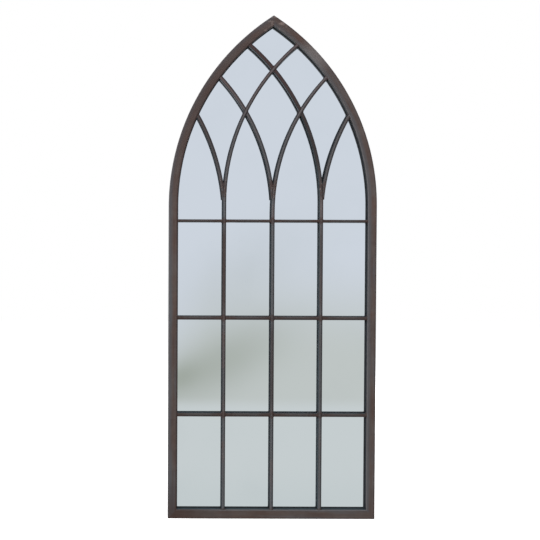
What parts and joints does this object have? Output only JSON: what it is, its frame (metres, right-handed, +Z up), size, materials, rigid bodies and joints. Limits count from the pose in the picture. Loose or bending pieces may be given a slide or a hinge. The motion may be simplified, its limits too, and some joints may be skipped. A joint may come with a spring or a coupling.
{
  "type": "arched garden mirror",
  "caption": "Tall wall mirror in a pointed-arch steel frame with a window-style bar grille and crossing tracery, hung on the wall by hinged D-rings.",
  "frame": {"origin": "on the wall plane, midway between the two wall hooks at the height where they carry the raised hanger rings", "axes": "+X to the viewer's right, +Y out of the back into the wall, +Z up; the mirror faces -Y"},
  "size_m": [0.619, 0.033, 1.5],
  "materials": {
    "aged_steel": "aged brown paint, satin, mottled",
    "mirror_glass": "silvered glass",
    "black_board": "black faced board, matt",
    "black_rubber": "matt black rubber",
    "zinc_steel": "bright zinc plate"
  },
  "bodies": {
    "mirror": {"left_stile": "aged_steel", "right_stile": "aged_steel", "bottom_rail": "aged_steel", "left_arch": "aged_steel", "right_arch": "aged_steel", "left_upright": "aged_steel", "middle_upright": "aged_steel", "right_upright": "aged_steel", "right_arc_middle": "aged_steel", "right_arc_upper": "aged_steel", "left_branch": "aged_steel", "middle_branch_lower": "aged_steel", "middle_branch_upper": "aged_steel", "right_branch": "aged_steel", "lower_crossbar_1": "aged_steel", "lower_crossbar_2": "aged_steel", "lower_crossbar_3": "aged_steel", "lower_crossbar_4": "aged_steel", "middle_crossbar_1": "aged_steel", "middle_crossbar_2": "aged_steel", "middle_crossbar_3": "aged_steel", "middle_crossbar_4": "aged_steel", "upper_crossbar_1": "aged_steel", "upper_crossbar_2": "aged_steel", "upper_crossbar_3": "aged_steel", "upper_crossbar_4": "aged_steel", "mirror_glass": "mirror_glass", "back_board": "black_board", "glazing_tape": "black_rubber", "edge_seal": "black_rubber", "setting_blocks": "black_rubber", "wall_bumpers": "black_rubber", "board_clips": "zinc_steel", "clip_screws": "zinc_steel", "left_hanger_strap": "zinc_steel", "right_hanger_strap": "zinc_steel", "hanger_screws": "zinc_steel", "bumper_screws": "zinc_steel"},
    "left_ring": {"left_hanger_ring": "zinc_steel"},
    "right_ring": {"right_hanger_ring": "zinc_steel"}
  },
  "joints": [
    {"name": "left_ring_swing", "type": "hinge", "parent": "mirror", "child": "left_ring", "pos_m": [-0.29625, -0.0044, -0.02075], "axis": [1, 0, 0], "range_deg": [0, 180]},
    {"name": "right_ring_swing", "type": "hinge", "parent": "mirror", "child": "right_ring", "pos_m": [0.29625, -0.0044, -0.02075], "axis": [1, 0, 0], "range_deg": [0, 180]}
  ]
}
